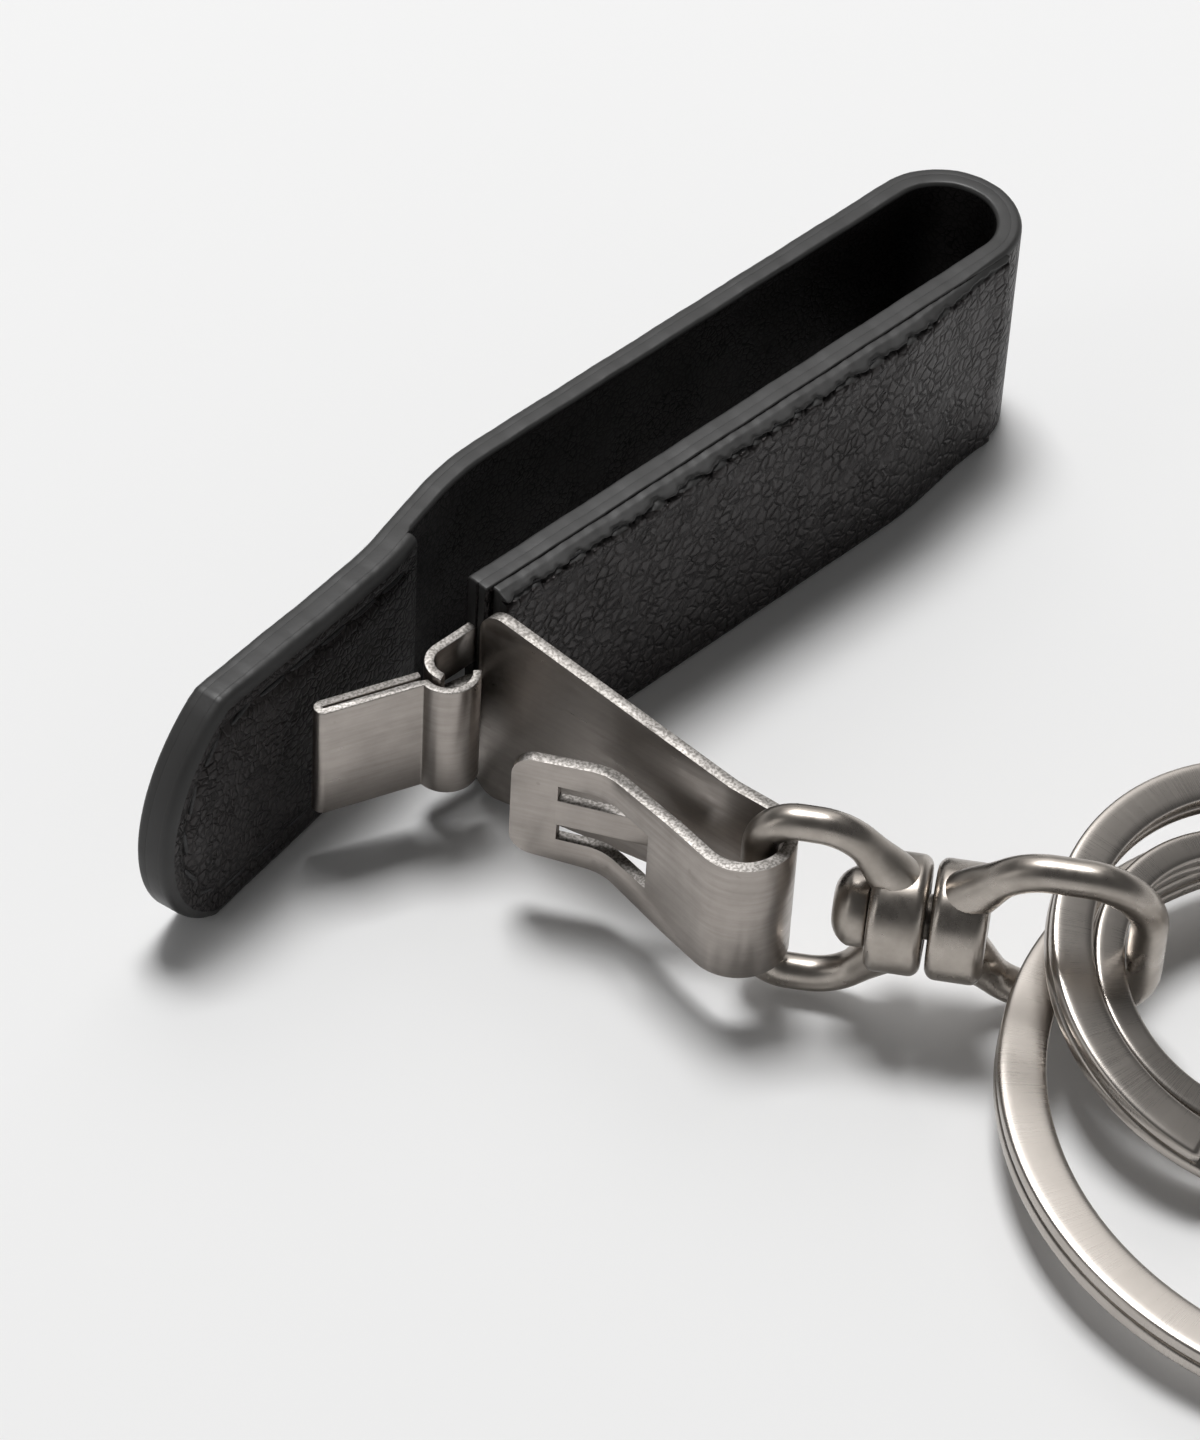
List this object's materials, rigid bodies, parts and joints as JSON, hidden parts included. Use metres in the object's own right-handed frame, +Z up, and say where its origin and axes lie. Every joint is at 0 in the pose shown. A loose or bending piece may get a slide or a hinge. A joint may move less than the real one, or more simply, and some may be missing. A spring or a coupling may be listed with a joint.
{
  "type": "belt key clip",
  "caption": "Leather belt loop key clip: folded strap with a hinged steel gate, a swinging sheet-metal snap hook, a wire swivel and split key rings.",
  "frame": {"origin": "middle of the belt slot, on the long edge the clip lies on", "axes": "+X along the strap from its open mouth to the fold, +Y from the front layer to the back layer, +Z up, the way the belt passes through the slot"},
  "size_m": [0.0819, 0.0988, 0.018],
  "materials": {
    "strap_leather": "black pebble grain, painted edges",
    "panel_leather": "black pebble grain, stitched along both long edges",
    "lining_leather": "black fine grain lining",
    "facing_leather": "black pebble grain, stitched round the tip",
    "satin_steel": "satin stamped strip with bright sheared edges",
    "pin_steel": "drawn wire",
    "swivel_nickel": "nickel plated wire and turned boss, worn satin",
    "rivet_nickel": "nickel plated, domed head",
    "ring_steel": "tumbled and polished flat wire"
  },
  "bodies": {
    "belt_loop": {"strap_outer": "strap_leather", "strap_lining": "lining_leather", "front_panel": "panel_leather", "tongue_facing": "facing_leather", "anchor_plate": "satin_steel", "hinge_pin": "pin_steel"},
    "gate": {"gate_flap": "satin_steel"},
    "hook": {"hook_strip": "satin_steel"},
    "spring": {"spring_tongue": "satin_steel"},
    "hook_eye": {"hook_eye": "swivel_nickel"},
    "swivel": {"ring_eye": "swivel_nickel", "swivel_rivet": "rivet_nickel"},
    "large_ring": {"large_ring": "ring_steel"},
    "small_ring": {"small_ring": "ring_steel"},
    "inner_ring": {"inner_ring": "ring_steel"}
  },
  "joints": [
    {"name": "gate_swing", "type": "hinge", "parent": "belt_loop", "child": "gate", "pos_m": [-0.0311, -0.00627, 0.009], "axis": [0, 0, 1], "range_deg": [0, 30]},
    {"name": "hook_swing", "type": "hinge", "parent": "belt_loop", "child": "hook", "pos_m": [-0.0311, -0.00627, 0.009], "axis": [0, 0, 1], "range_deg": [-15, 12]},
    {"name": "spring_flex", "type": "hinge", "parent": "hook", "child": "spring", "pos_m": [-0.03168, -0.01734, 0.009], "axis": [0, 0, 1], "range_deg": [-10, 0], "stiffness_Nm_per_rad": 0.08},
    {"name": "eye_swing", "type": "hinge", "parent": "hook", "child": "hook_eye", "pos_m": [-0.02689, -0.03083, 0.0087], "axis": [0, 0, 1], "range_deg": [-40, 20]},
    {"name": "swivel_spin", "type": "hinge", "parent": "hook_eye", "child": "swivel", "pos_m": [-0.02025, -0.03997, 0.0087], "axis": [0.5878, -0.809, 0], "continuous": true},
    {"name": "large_ring_turn", "type": "hinge", "parent": "swivel", "child": "large_ring", "pos_m": [-0.00721, -0.06816, 0.00293], "axis": [0.0287, -0.0655, 0.9974], "continuous": true},
    {"name": "small_ring_turn", "type": "hinge", "parent": "swivel", "child": "small_ring", "pos_m": [-0.00462, -0.05795, 0.00552], "axis": [0.0051, -0.2672, 0.9636], "continuous": true},
    {"name": "inner_ring_turn", "type": "hinge", "parent": "swivel", "child": "inner_ring", "pos_m": [-0.00592, -0.05688, 0.00453], "axis": [0.0472, -0.2818, 0.9583], "continuous": true}
  ]
}
